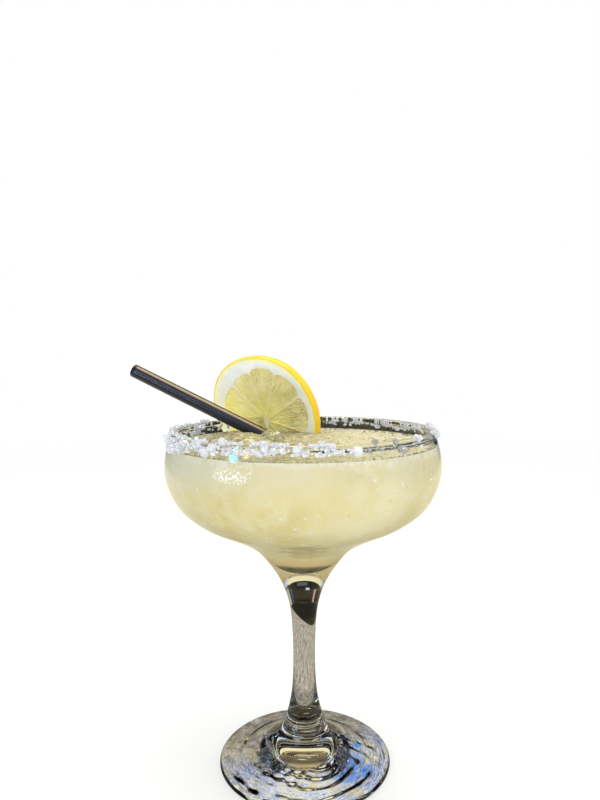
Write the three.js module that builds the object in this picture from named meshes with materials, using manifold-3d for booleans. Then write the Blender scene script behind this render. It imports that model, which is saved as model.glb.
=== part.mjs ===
// A margarita in a stemmed coupe: a one-piece glass with coarse salt on its rim, a cloudy drink
// with a domed, slushy top, a lemon wheel slit onto the back of the rim, a straw that lies on the
// rim, and one lump of ice that breaks the surface. Millimetres, +Z up. The origin is on the stem's
// axis at the level of the table, and -Y is the side that the drink is seen from.
import * as THREE from "three";
import { mergeVertices } from "three/addons/utils/BufferGeometryUtils.js";
import Module from "manifold-3d";

const wasm = await Module();
wasm.setup();

// Driving dimensions
const GLASS_HEIGHT = 132;
const RIM_RADIUS = 50;
const RIM_BEAD = 1.0; // radius of the lip's bead, which stands in from the thinner wall
const FOOT_RADIUS = 33.5;
const FOOT_EDGE = 1.1; // radius of the foot's rounded edge
const PAD_RADIUS = 9; // the flat round pad under the stem, which meets the table
const GROOVE_OUTER = 26; // the underside is sunk between the pad and the resting ring
const GROOVE_SLOPE = 2.5;
const GROOVE_DEPTH = 0.9;
const DRINK_LEVEL = 126; // where the drink meets the wall
const GAP = 0.3; // left between pieces that touch
const WHEEL_RADIUS = 27.4;
const WHEEL_THICKNESS = 4.2;
const STRAW_RADIUS = 2.9;
const STRAW_BORE = 2.5;
const STRAW_LENGTH = 120;

// How finely round shapes are cut
const GLASS_SIDES = 40;
const DRINK_SIDES = 40;
const WHEEL_SIDES = 48;
const STRAW_SIDES = 16;

// A repeatable random number in 0..1
let seed = 20;
function random() {
  seed = (seed * 1664525 + 1013904223) % 4294967296;
  return seed / 4294967296;
}

// Solids: closed geometry goes in, is joined and cut, and comes back as the finished meshes
function solidOf(geometry) {
  const bare = geometry.index ? geometry.toNonIndexed() : geometry.clone();
  const only = new THREE.BufferGeometry();
  only.setAttribute("position", bare.getAttribute("position"));
  const merged = mergeVertices(only, 1e-3);
  return new wasm.Manifold(
    new wasm.Mesh({
      numProp: 3,
      vertProperties: merged.attributes.position.array,
      triVerts: new Uint32Array(merged.index.array),
    }),
  );
}

function geometryOf(solid) {
  const mesh = solid.getMesh();
  const geometry = new THREE.BufferGeometry();
  geometry.setAttribute("position", new THREE.BufferAttribute(mesh.vertProperties, 3));
  geometry.setIndex(new THREE.BufferAttribute(mesh.triVerts, 1));
  geometry.computeVertexNormals();
  return geometry;
}

// A closed [radius, height] outline turned about Z. It runs up the outside and down the inside.
function turned(outline, sides) {
  const points = outline.map(([r, z]) => new THREE.Vector2(r, z));
  return new THREE.LatheGeometry(points, sides).rotateX(Math.PI / 2);
}

function smooth(stations, steps) {
  const curve = new THREE.SplineCurve(stations.map(([r, z]) => new THREE.Vector2(r, z)));
  return curve.getPoints(steps).map((p) => [p.x, p.y]);
}

function arc(centreR, centreZ, radius, fromDeg, toDeg, steps) {
  return Array.from({ length: steps + 1 }, (_, i) => {
    const a = THREE.MathUtils.degToRad(fromDeg + ((toDeg - fromDeg) * i) / steps);
    return [centreR + radius * Math.cos(a), centreZ + radius * Math.sin(a)];
  });
}

// The glass's outside, from the foot's edge up to the lip: [radius, height]
const OUTSIDE = [
  [FOOT_RADIUS - 0.6, 2.1],
  [26, 3.5],
  [20, 5.1],
  [15, 7.8],
  [11, 11.2],
  [8.3, 14.9],
  [6.2, 21.6],
  [4.8, 29.5],
  [4.3, 39.5],
  [4.5, 51.5],
  [5.2, 60.5],
  [6.8, 67.4],
  [9.3, 73.4],
  [13.1, 79.4],
  [18.2, 85.4],
  [24.4, 89.7],
  [31.9, 93.6],
  [40.1, 97.7],
  [46.8, 103.2],
  [50.6, 109.7],
  [52.4, 116.9],
  [51.9, 123.9],
  [RIM_RADIUS, GLASS_HEIGHT - RIM_BEAD],
];

// The glass's inside, from under the lip down to the bottom of the bowl
const INSIDE = [
  [48.25, 130.2],
  [49.15, 129.1],
  [49.9, 126.6],
  [50.45, 122.6],
  [50.7, 117.2],
  [49.1, 110.9],
  [45.6, 104.9],
  [39.4, 99.8],
  [31.2, 96.1],
  [22.5, 92.6],
  [16, 89.4],
  [10.6, 86],
  [7.4, 83.5],
  [4.2, 81],
  [0, 79.9],
];

function outsideCurve() {
  return smooth(OUTSIDE, 27);
}

function insideCurve() {
  return smooth(INSIDE, INSIDE.length - 1);
}

function insideRadius(z) {
  for (let i = 0; i + 1 < INSIDE.length; i += 1) {
    const [upR, upZ] = INSIDE[i];
    const [lowR, lowZ] = INSIDE[i + 1];
    if (z <= upZ && z >= lowZ) return lowR + ((upR - lowR) * (z - lowZ)) / (upZ - lowZ);
  }
  return 0;
}

function outsideRadius(z) {
  for (let i = 0; i + 1 < OUTSIDE.length; i += 1) {
    const [lowR, lowZ] = OUTSIDE[i];
    const [upR, upZ] = OUTSIDE[i + 1];
    if (z <= upZ && z >= lowZ) return lowR + ((upR - lowR) * (z - lowZ)) / (upZ - lowZ);
  }
  return RIM_RADIUS;
}

// The bare glass: underside, edge of the foot, outside, lip, inside
function bareGlass() {
  const lip = RIM_RADIUS - RIM_BEAD;
  const edge = FOOT_RADIUS - FOOT_EDGE;
  const outline = [
    [0, 0],
    [PAD_RADIUS, 0],
    [PAD_RADIUS + GROOVE_SLOPE, GROOVE_DEPTH],
    [GROOVE_OUTER - GROOVE_SLOPE, GROOVE_DEPTH],
    [GROOVE_OUTER, 0],
    ...arc(edge, FOOT_EDGE, FOOT_EDGE, -90, 55, 4),
    ...outsideCurve(),
    ...arc(lip, GLASS_HEIGHT - RIM_BEAD, RIM_BEAD, 40, 200, 4),
    ...insideCurve(),
  ];
  outline[outline.length - 1][0] = 0;
  return solidOf(turned(outline, GLASS_SIDES));
}

// The bowl's wall with room round it, for cutting the slit of the lemon wheel
function wallWithRoom(room) {
  const low = 96;
  const lip = RIM_RADIUS - RIM_BEAD;
  const up = outsideCurve().filter(([, z]) => z > low);
  const down = insideCurve().filter(([, z]) => z > low);
  const outline = [
    ...up.map(([r, z]) => [r + room, z]),
    ...arc(lip, GLASS_HEIGHT - RIM_BEAD, RIM_BEAD + room, 40, 200, 4),
    ...down.map(([r, z]) => [r - room, z]),
  ];
  outline.push(outline[0]);
  return solidOf(turned(outline, GLASS_SIDES));
}

// The wheel's own frame: x to the right along its face, y up the face, z out of the front face
const WHEEL_YAW = 30; // degrees that its right side is turned towards the viewer
const WHEEL_LEAN = 11; // degrees that its top leans towards the viewer
const WHEEL_CENTRE = new THREE.Vector3(-16.9, 46.2, 133);
const wheelFrame = new THREE.Matrix4()
  .makeTranslation(WHEEL_CENTRE)
  .multiply(new THREE.Matrix4().makeRotationZ(THREE.MathUtils.degToRad(-WHEEL_YAW)))
  .multiply(new THREE.Matrix4().makeRotationX(THREE.MathUtils.degToRad(90 + WHEEL_LEAN)));

function wheelOutline(grow) {
  const points = Array.from({ length: WHEEL_SIDES }, (_, i) => {
    const a = (i / WHEEL_SIDES) * 2 * Math.PI;
    const r =
      WHEEL_RADIUS +
      0.45 * Math.cos(2 * a + 2.05) +
      0.58 * Math.cos(3 * a - 0.54) +
      0.38 * Math.cos(4 * a + 2.15) +
      grow;
    return new THREE.Vector2(r * Math.cos(a), r * Math.sin(a));
  });
  return new THREE.Shape(points);
}

function wheelDisc(grow) {
  const bevel = 0.5;
  const disc = new THREE.ExtrudeGeometry(wheelOutline(grow - bevel), {
    depth: WHEEL_THICKNESS + 2 * grow - 2 * bevel,
    bevelEnabled: true,
    bevelSize: bevel,
    bevelThickness: bevel,
    bevelSegments: 1,
  });
  disc.translate(0, 0, bevel - grow - WHEEL_THICKNESS / 2);
  return solidOf(disc);
}

// The flesh is a round field, a little to the right of the wheel's centre. Membranes part it into
// segments that meet at the core, and each segment has a round outer end.
const MEMBRANES = [32, 73, 107, 137, 180, 213, 246, 280, 313, 346]; // degrees round the core
const CORE = new THREE.Vector2(2, -2);
const CORE_RADIUS = 1.9;
const FLESH_CENTRE = new THREE.Vector2(1.3, -0.1);
const FLESH_RADIUS = 21.9;
const MEMBRANE_HALF = 0.35;
const FLESH_DEPTH = 0.35; // the flesh is sunk under the membranes and pith

function fleshReach(angle) {
  const way = new THREE.Vector2(Math.cos(angle), Math.sin(angle));
  const off = CORE.clone().sub(FLESH_CENTRE);
  const along = off.dot(way);
  return -along + Math.sqrt(along ** 2 - off.lengthSq() + FLESH_RADIUS ** 2);
}

function segmentOutline(index) {
  const low = THREE.MathUtils.degToRad(MEMBRANES[index]);
  const next = MEMBRANES[(index + 1) % MEMBRANES.length] + (index + 1 < MEMBRANES.length ? 0 : 360);
  const half = (THREE.MathUtils.degToRad(next) - low) / 2;
  const middle = low + half;
  const points = [[middle, CORE_RADIUS + MEMBRANE_HALF / Math.sin(half)]];
  for (let i = 0; i <= 6; i += 1) {
    const across = i / 3 - 1;
    const angle = middle + across * (half - MEMBRANE_HALF / 18);
    points.push([angle, fleshReach(angle) * (1 - 0.07 * Math.abs(across) ** 4)]);
  }
  return new THREE.Shape(
    points.map(([a, r]) => new THREE.Vector2(r * Math.cos(a), r * Math.sin(a)).add(CORE)),
  );
}

function lemonWheel() {
  let wheel = wheelDisc(0);
  const pockets = [];
  for (let i = 0; i < MEMBRANES.length; i += 1) {
    for (const face of [-1, 1]) {
      const pocket = new THREE.ExtrudeGeometry(segmentOutline(i), {
        depth: 2 * FLESH_DEPTH,
        bevelEnabled: false,
      });
      pocket.translate(0, 0, (face * WHEEL_THICKNESS) / 2 - FLESH_DEPTH);
      pockets.push(solidOf(pocket));
    }
  }
  wheel = wheel.subtract(wasm.Manifold.union(pockets));
  return wheel.transform(wheelFrame.elements).subtract(wallWithRoom(GAP + 0.05));
}

// The straw runs down from its upper end, over the rim on which it lies, into the drink
const STRAW_TOP = new THREE.Vector3(-75.1, 43.2, 153.6);
const STRAW_DIRECTION = new THREE.Vector3(1, -0.297, -0.468).normalize();

function strawTube(outer, bore, extra) {
  const ring = new THREE.Shape();
  ring.absarc(0, 0, outer, 0, 2 * Math.PI, false);
  if (bore > 0) {
    const hole = new THREE.Path();
    hole.absarc(0, 0, bore, 0, 2 * Math.PI, true);
    ring.holes.push(hole);
  }
  const tube = new THREE.ExtrudeGeometry(ring, {
    depth: STRAW_LENGTH + extra,
    bevelEnabled: false,
    curveSegments: STRAW_SIDES,
  });
  const turn = new THREE.Quaternion().setFromUnitVectors(
    new THREE.Vector3(0, 0, 1),
    STRAW_DIRECTION,
  );
  tube.applyQuaternion(turn).translate(STRAW_TOP.x, STRAW_TOP.y, STRAW_TOP.z);
  return solidOf(tube);
}

// The lump of ice that breaks the surface beside the straw
const ICE_CENTRE = new THREE.Vector3(-11.9, 5.3, 126.6);
const ICE_RADII = new THREE.Vector3(4.3, 3.6, 4.2);

function iceLump(grow) {
  const lump = new THREE.IcosahedronGeometry(1, 1);
  const place = lump.getAttribute("position");
  const v = new THREE.Vector3();
  for (let i = 0; i < place.count; i += 1) {
    v.fromBufferAttribute(place, i);
    const blocky = 1 / Math.max(Math.abs(v.x), Math.abs(v.y), Math.abs(v.z)) ** 0.45;
    const uneven = 1 + 0.06 * Math.sin(7 * v.x + 5 * v.y + 3 * v.z);
    v.multiplyScalar(blocky * uneven);
    place.setXYZ(
      i,
      v.x * (ICE_RADII.x + grow),
      v.y * (ICE_RADII.y + grow),
      v.z * (ICE_RADII.z + grow),
    );
  }
  lump.rotateX(0.35).rotateZ(-0.55).translate(ICE_CENTRE.x, ICE_CENTRE.y, ICE_CENTRE.z);
  return solidOf(lump);
}

// The drink's top: level at the wall, heaped with slush round the straw, and gently uneven
const HEAP = { x: -21, y: 7, height: 3.6, spread: 13 };

function slushHeight(x, y) {
  const r = Math.hypot(x, y) / RIM_RADIUS;
  const inner = Math.max(0, 1 - r ** 4);
  const away = ((x - HEAP.x) ** 2 + (y - HEAP.y) ** 2) / HEAP.spread ** 2;
  const heap = HEAP.height * Math.exp(-away);
  const waves =
    0.22 * Math.sin(0.42 * x + 0.9) * Math.cos(0.37 * y) +
    0.16 * Math.sin(0.71 * y - 0.33 * x + 2.1);
  return inner * (heap + waves + 0.12);
}

function drinkBody() {
  const wall = insideCurve().filter(([, z]) => z < DRINK_LEVEL - 1);
  const up = wall.map(([r, z]) => [Math.max(0, r - GAP), z + 0.8 * GAP]).reverse();
  up[0] = [0, INSIDE[INSIDE.length - 1][1] + GAP];
  const edge = insideRadius(DRINK_LEVEL) - GAP;
  const rings = 8;
  const top = Array.from({ length: rings + 1 }, (_, i) => [edge * (1 - i / rings), DRINK_LEVEL]);
  const body = turned([...up, ...top], DRINK_SIDES);
  const place = body.getAttribute("position");
  for (let i = 0; i < place.count; i += 1) {
    if (place.getZ(i) > DRINK_LEVEL - 0.01) {
      place.setZ(i, DRINK_LEVEL + slushHeight(place.getX(i), place.getY(i)));
    }
  }
  return solidOf(body)
    .subtract(strawTube(STRAW_RADIUS + GAP, 0, GAP))
    .subtract(wheelDisc(GAP).transform(wheelFrame.elements))
    .subtract(iceLump(GAP));
}

// Coarse salt on the rim. It is thick on the left, where it also hangs lowest, and thin at the front
// right. Along the back it clings to the wall under the lip. The cover is [degrees round from +X,
// share of the places taken].
const SALT_GRAINS = 105;
const SALT_BACK_FROM = 8;
const SALT_BACK_TO = 128;
const SALT_COVER = [
  [-180, 1],
  [-120, 1],
  [-95, 0.85],
  [-72, 0.8],
  [-64, 0.3],
  [-44, 0.25],
  [-36, 0.04],
  [-18, 0.05],
  [-10, 0.35],
  [12, 0.35],
  [25, 0.6],
  [120, 0.5],
  [140, 0.35],
  [152, 1],
  [180, 1],
];
const SALT_LARGEST = 1.9;
const SALT_SMALLEST = 0.9;

function saltCover(degrees) {
  const next = SALT_COVER.findIndex(([d]) => d > degrees);
  const [fromDegrees, fromShare] = SALT_COVER[next - 1];
  const [toDegrees, toShare] = SALT_COVER[next];
  const t = (degrees - fromDegrees) / (toDegrees - fromDegrees);
  return fromShare + (toShare - fromShare) * t;
}

function saltGrain(radius) {
  const grain = new THREE.BoxGeometry(
    radius * (1.3 + 0.5 * random()),
    radius * (1.2 + 0.5 * random()),
    radius * (1.0 + 0.5 * random()),
  );
  return grain.rotateX(random() * 6).rotateZ(random() * 6);
}

// True where a grain would reach the straw or the wheel, or lie before the wheel's face
function saltIsInTheWay(centre, reach) {
  const fromTop = centre.clone().sub(STRAW_TOP);
  const along = fromTop.dot(STRAW_DIRECTION);
  const toStraw = fromTop.addScaledVector(STRAW_DIRECTION, -along).length();
  if (toStraw < STRAW_RADIUS + reach + GAP) return true;
  const local = centre.clone().applyMatrix4(wheelFrame.clone().invert());
  const inWheel = Math.hypot(local.x, local.y) < WHEEL_RADIUS + reach + 1;
  return inWheel && local.z > -WHEEL_THICKNESS / 2 - reach - GAP && local.z < 14;
}

function saltedRim() {
  const grains = [];
  while (grains.length < SALT_GRAINS) {
    const share = grains.length / SALT_GRAINS;
    const degrees = 360 * random() - 180;
    if (random() > saltCover(degrees)) continue;
    const behind = degrees > SALT_BACK_FROM && degrees < SALT_BACK_TO;
    const size = SALT_LARGEST + (SALT_SMALLEST - SALT_LARGEST) * share;
    const radius = behind ? 0.75 * size : size;
    const a = THREE.MathUtils.degToRad(degrees);
    const left = Math.max(0, -Math.cos(a)) ** 3;
    const fall = random() ** 1.6;
    const drop = behind ? 1.1 + 2.4 * fall : fall * (2.8 + 3.4 * left);
    const onTop = drop < 0.9;
    const z = GLASS_HEIGHT - 0.2 - drop + (onTop ? 0.6 : 0);
    const r = onTop ? RIM_RADIUS - RIM_BEAD + 0.6 * random() : outsideRadius(z) + 0.25 * radius;
    const centre = new THREE.Vector3(r * Math.cos(a), r * Math.sin(a), z);
    if (saltIsInTheWay(centre, 1.5 * radius)) continue;
    grains.push(solidOf(saltGrain(radius).translate(centre.x, centre.y, centre.z)));
  }
  return wasm.Manifold.union(grains);
}

// A union can leave a tiny sealed pocket or a loose scrap, which the real thing has none of
function largestBody(solid) {
  return solid.decompose().sort((a, b) => b.volume() - a.volume())[0];
}

// Materials
const finishes = {
  glass: { color: 0xe9efee, roughness: 0.03, metalness: 0, transparent: true, opacity: 0.35 },
  drink: { color: 0xded79f, roughness: 0.35, metalness: 0 },
  lemon: { color: 0xf2d94a, roughness: 0.45, metalness: 0 },
  straw: { color: 0x14161b, roughness: 0.3, metalness: 0 },
  ice: { color: 0xe4e6dc, roughness: 0.15, metalness: 0, transparent: true, opacity: 0.7 },
};

const group = new THREE.Group();

function add(name, solid) {
  const mesh = new THREE.Mesh(geometryOf(solid), new THREE.MeshStandardMaterial(finishes[name]));
  mesh.name = { lemon: "lemon_wheel", ice: "ice_lump" }[name] ?? name;
  group.add(mesh);
}

add("glass", largestBody(bareGlass().add(saltedRim())));
add("drink", largestBody(drinkBody()));
add("lemon", largestBody(lemonWheel()));
add("straw", strawTube(STRAW_RADIUS, STRAW_BORE, 0));
add("ice", iceLump(0));

export default group;
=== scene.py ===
import math
import random

import bmesh
import bpy
import numpy as np
from mathutils import Matrix, Vector


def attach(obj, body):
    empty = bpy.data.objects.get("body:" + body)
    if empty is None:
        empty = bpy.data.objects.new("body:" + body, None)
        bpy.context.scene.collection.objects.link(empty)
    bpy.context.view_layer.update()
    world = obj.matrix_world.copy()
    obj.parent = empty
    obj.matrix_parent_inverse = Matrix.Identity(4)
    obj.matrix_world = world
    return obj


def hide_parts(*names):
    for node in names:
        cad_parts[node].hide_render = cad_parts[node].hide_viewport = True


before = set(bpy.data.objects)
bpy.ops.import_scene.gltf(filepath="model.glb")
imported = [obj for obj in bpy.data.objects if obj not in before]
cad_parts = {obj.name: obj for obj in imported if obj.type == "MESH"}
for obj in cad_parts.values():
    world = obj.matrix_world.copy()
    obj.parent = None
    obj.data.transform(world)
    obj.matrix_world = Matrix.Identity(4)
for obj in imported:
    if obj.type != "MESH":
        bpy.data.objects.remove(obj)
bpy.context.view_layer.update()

MM = 0.001

# Sizes shared with the solids, in millimetres
GLASS_HEIGHT = 132.0
RIM_RADIUS = 50.0
RIM_BEAD = 1.0
FOOT_RADIUS = 33.5
FOOT_EDGE = 1.1
PAD_RADIUS = 9.0
GROOVE_OUTER = 26.0
GROOVE_SLOPE = 2.5
GROOVE_DEPTH = 0.9
DRINK_LEVEL = 126.0
HEAP_X, HEAP_Y, HEAP_HEIGHT, HEAP_SPREAD = -24.0, 7.0, 3.3, 12.0
WHEEL_RADIUS = 27.4
WHEEL_THICKNESS = 4.2
WHEEL_CENTRE = (-16.9, 46.2, 133.0)
WHEEL_YAW = 30.0
WHEEL_LEAN = 11.0
STRAW_TOP = (-75.1, 43.2, 153.6)
STRAW_WAY = (1.0, -0.297, -0.468)
STRAW_RADIUS = 2.9
STRAW_BORE = 2.5
STRAW_LENGTH = 120.0
ICE_CENTRE = (-11.9, 5.3, 126.6)
ICE_RADII = (4.3, 3.6, 4.2)

OUTSIDE = [
    (FOOT_RADIUS - 0.6, 2.1), (26, 3.5), (20, 5.1), (15, 7.8), (11, 11.2), (8.3, 14.9),
    (6.2, 21.6), (4.8, 29.5), (4.3, 39.5), (4.5, 51.5), (5.2, 60.5), (6.8, 67.4), (9.3, 73.4),
    (13.1, 79.4), (18.2, 85.4), (24.4, 89.7), (31.9, 93.6), (40.1, 97.7), (46.8, 103.2),
    (50.6, 109.7), (52.4, 116.9), (51.9, 123.9), (RIM_RADIUS, GLASS_HEIGHT - RIM_BEAD),
]
INSIDE = [
    (48.25, 130.2), (49.15, 129.1), (49.9, 126.6), (50.45, 122.6), (50.7, 117.2), (49.1, 110.9),
    (45.6, 104.9), (39.4, 99.8), (31.2, 96.1), (22.5, 92.6), (16, 89.4), (10.6, 86), (7.4, 83.5),
    (4.2, 81), (0, 79.9),
]
GLASS_SIDES = 288
SPAN_STEPS = 6  # points for each span of a turned outline
ARC_STEPS = 12


# Meshes
def piece(name, verts, faces, materials, smooth_angle=40):
    """A mesh in millimetres becomes a piece of the object, in metres."""
    mesh = bpy.data.meshes.new(name)
    mesh.from_pydata((np.asarray(verts, dtype=float) * MM).tolist(), [], faces)
    mesh.validate()
    for material in materials:
        mesh.materials.append(material)
    mesh.polygons.foreach_set("use_smooth", [True] * len(mesh.polygons))
    mesh.set_sharp_from_angle(angle=math.radians(smooth_angle))
    mesh.update()
    obj = bpy.data.objects.new(name, mesh)
    bpy.context.scene.collection.objects.link(obj)
    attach(obj, "root")
    return obj


def store(obj, name, values):
    """Numbers, or vectors, kept at each point for the materials."""
    values = np.array(values, dtype=float)
    kind, key = ("FLOAT", "value") if values.ndim == 1 else ("FLOAT_VECTOR", "vector")
    stored = obj.data.attributes.new(name, kind, "POINT")
    stored.data.foreach_set(key, values.ravel())


def spline(stations, per_span):
    """A smooth curve through [radius, height] stations."""
    p = np.array(stations, dtype=float)
    points = []
    for i in range(len(p) - 1):
        a, b, c, d = p[max(i - 1, 0)], p[i], p[i + 1], p[min(i + 2, len(p) - 1)]
        for k in range(per_span):
            t = k / per_span
            v0, v1 = (c - a) / 2, (d - b) / 2
            points.append(
                (2 * b - 2 * c + v0 + v1) * t**3
                + (-3 * b + 3 * c - 2 * v0 - v1) * t**2
                + v0 * t
                + b
            )
    points.append(p[-1])
    return [(float(r), float(z)) for r, z in points]


def arc(centre_r, centre_z, radius, start, end, steps):
    turns = np.radians(np.linspace(start, end, steps + 1))
    return [
        (centre_r + radius * math.cos(a), centre_z + radius * math.sin(a)) for a in turns
    ]


def bands(rows, sides):
    """Faces between neighbouring rings of points. A ring may be a single point on the axis."""
    faces = []
    for low, high in zip(rows, rows[1:]):
        for i in range(sides):
            j = (i + 1) % sides
            ring = [low[i % len(low)], low[j % len(low)], high[j % len(high)], high[i % len(high)]]
            face = list(dict.fromkeys(ring))
            if len(face) > 2:
                faces.append(face)
    return faces


def turned(outline, sides):
    """An outline that starts and ends on the axis, turned about it."""
    angles = np.linspace(0, 2 * math.pi, sides, endpoint=False)
    verts, rows = [], []
    for r, z in outline:
        if r < 1e-6:
            rows.append([len(verts)])
            verts.append((0.0, 0.0, z))
        else:
            rows.append(list(range(len(verts), len(verts) + sides)))
            verts += [(r * math.cos(a), r * math.sin(a), z) for a in angles]
    return verts, bands(rows, sides)


def smoothstep(value, low, high):
    t = min(1.0, max(0.0, (value - low) / (high - low)))
    return t * t * (3 - 2 * t)


def inside_radius(z):
    heights = [s[1] for s in reversed(INSIDE)]
    radii = [s[0] for s in reversed(INSIDE)]
    return float(np.interp(z, heights, radii))


def outside_radius(z):
    return float(np.interp(z, [s[1] for s in OUTSIDE], [s[0] for s in OUTSIDE]))


# Materials
def rgba(colour):
    return (*colour, 1.0)


def on_screen(colour):
    """A colour as seen on screen, 0 to 255, as the light that it stands for."""
    def light(c):
        c = c / 255
        return c / 12.92 if c <= 0.04045 else ((c + 0.055) / 1.055) ** 2.4

    return rgba([light(c) for c in colour])


class Look:
    """A tree of nodes, built by adding nodes and naming what feeds each input.

    Colours in ramps and mixes are given as seen on screen, 0 to 255.
    """

    def __init__(self, name, owner=None):
        self.owner = owner or bpy.data.materials.new(name)
        self.owner.use_nodes = True
        self.tree = self.owner.node_tree
        self.tree.nodes.clear()
        self.out = self.add("OutputWorld" if owner else "OutputMaterial")
        self.places = {}

    def add(self, kind, settings=None, **inputs):
        node = self.tree.nodes.new("ShaderNode" + kind)
        for key, value in (settings or {}).items():
            setattr(node, key, value)
        for key, value in inputs.items():
            self.feed(node.inputs[key.replace("_", " ")], value)
        return node

    def feed(self, socket, value):
        if isinstance(value, bpy.types.NodeSocket):
            self.tree.links.new(value, socket)
        elif isinstance(value, bpy.types.Node):
            self.tree.links.new(value.outputs[0], socket)
        else:
            socket.default_value = value

    def joined(self, kind, settings, *values):
        """A node whose inputs are filled in order."""
        node = self.add(kind, settings)
        for socket, value in zip(node.inputs, values):
            self.feed(socket, value)
        return node

    def place(self, stretch=(1, 1, 1)):
        if stretch not in self.places:
            coordinates = self.add("TexCoord").outputs["Object"]
            self.places[stretch] = self.add("Mapping", Vector=coordinates, Scale=stretch)
        return self.places[stretch]

    def split(self, vector):
        parts = self.add("SeparateXYZ", Vector=vector).outputs
        return parts["X"], parts["Y"], parts["Z"]

    def far_from(self, point, place=None):
        """How far a place is from a point."""
        settings = {"operation": "DISTANCE"}
        return self.joined("VectorMath", settings, place or self.place(), point).outputs["Value"]

    def stored(self, name, output="Fac"):
        return self.add("Attribute", {"attribute_name": name}).outputs[output]

    def noise(self, scale, detail=3.0, roughness=0.5, vector=None, distortion=0.0, output="Fac"):
        node = self.add(
            "TexNoise", Vector=vector or self.place(),
            Scale=scale, Detail=detail, Roughness=roughness, Distortion=distortion,
        )
        return node.outputs[output]

    def cells(self, scale, feature="F1", vector=None, output="Distance"):
        node = self.add(
            "TexVoronoi", {"feature": feature}, Vector=vector or self.place(), Scale=scale
        )
        return node.outputs[output]

    def ramp(self, factor, stops, interpolation="LINEAR"):
        """Each stop is a position and a colour."""
        node = self.add("ValToRGB", Fac=factor)
        node.color_ramp.interpolation = interpolation
        ends = node.color_ramp.elements
        for end, (position, *colour) in zip(ends, (stops[0], stops[-1])):
            end.position, end.color = position, on_screen(colour)
        for position, *colour in stops[1:-1]:
            ends.new(position).color = on_screen(colour)
        return node.outputs["Color"]

    def mix(self, factor, a, b):
        node = self.add("Mix", {"data_type": "RGBA"})
        self.feed(node.inputs[0], factor)
        for socket, colour in ((node.inputs[6], a), (node.inputs[7], b)):
            self.feed(socket, on_screen(colour) if isinstance(colour, tuple) else colour)
        return node.outputs[2]

    def math(self, operation, a, b=0.0, clamp=False):
        settings = {"operation": operation, "use_clamp": clamp}
        return self.joined("Math", settings, a, b).outputs[0]

    def times(self, a, b):
        return self.math("MULTIPLY", a, b)

    def between(self, value, low, high, out_low=0.0, out_high=1.0, kind="SMOOTHSTEP"):
        node = self.add(
            "MapRange", {"interpolation_type": kind}, Value=value,
            From_Min=low, From_Max=high, To_Min=out_low, To_Max=out_high,
        )
        return node.outputs[0]

    def fading(self, value, low, high, most=1.0):
        return self.between(value, low, high, most, 0.0)

    def line(self, value, level, low, high, most=1.0):
        """Strong where a value comes close to a level."""
        off = self.math("ABSOLUTE", self.math("SUBTRACT", value, level))
        return self.fading(off, low, high, most)

    def bump(self, height, distance, strength=1.0):
        return self.add("Bump", Height=height, Distance=distance, Strength=strength).outputs[0]

    def surface(self, soft=None, **inputs):
        """Light goes a little way in where soft gives a share and a reach for red, green, blue."""
        if soft:
            share, reach = soft
            inputs.update(Subsurface_Weight=share, Subsurface_Radius=reach, Subsurface_Scale=1.0)
        return self.add("BsdfPrincipled", None, **inputs)

    def either(self, factor, a, b):
        return self.joined("MixShader", None, factor, a, b)

    def done(self, shader):
        self.feed(self.out.inputs["Surface"], shader)
        return self.owner

    def done_clear(self, shader, tint):
        """Clear stuff lets lamps through to what it holds."""
        open_way = self.add("BsdfTransparent", Color=rgba(tint))
        in_shadow = self.add("LightPath").outputs["Is Shadow Ray"]
        return self.done(self.either(in_shadow, shader, open_way))


def glass_look():
    look = Look("clear_glass")
    wave = look.noise(38.0, detail=1.0, vector=look.place((1, 1, 0.45)))
    smear = look.noise(220.0, roughness=0.6)
    shader = look.surface(
        Base_Color=rgba((0.975, 0.985, 0.975)),
        Roughness=look.between(smear, 0.56, 0.85, 0.0, 0.05),
        IOR=1.5,
        Normal=look.bump(wave, 0.0004, 0.5),
        Transmission_Weight=1.0,
    )
    return look.done_clear(shader, (0.96, 0.97, 0.96))


def salt_look():
    look = Look("salt_crystals")
    grain = look.stored("shade")
    cloud = look.noise(900.0, detail=2.0)
    colour = look.mix(grain, (214, 218, 224), (243, 244, 245))
    colour = look.mix(look.between(cloud, 0.4, 0.75, 0.0, 0.45), colour, (200, 205, 214))
    milky = look.between(grain, 0.2, 0.95, 0.12, 0.45)
    shader = look.surface(
        soft=(0.5, (0.0012, 0.0012, 0.0012)),
        Base_Color=colour,
        Roughness=look.between(cloud, 0.3, 0.7, 0.08, 0.3),
        IOR=1.5,
        Normal=look.bump(look.noise(1500.0), 0.0003, 0.45),
        Transmission_Weight=look.math("MAXIMUM", milky, look.stored("clear")),
    )
    return look.done_clear(shader, (0.9, 0.91, 0.92))


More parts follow.
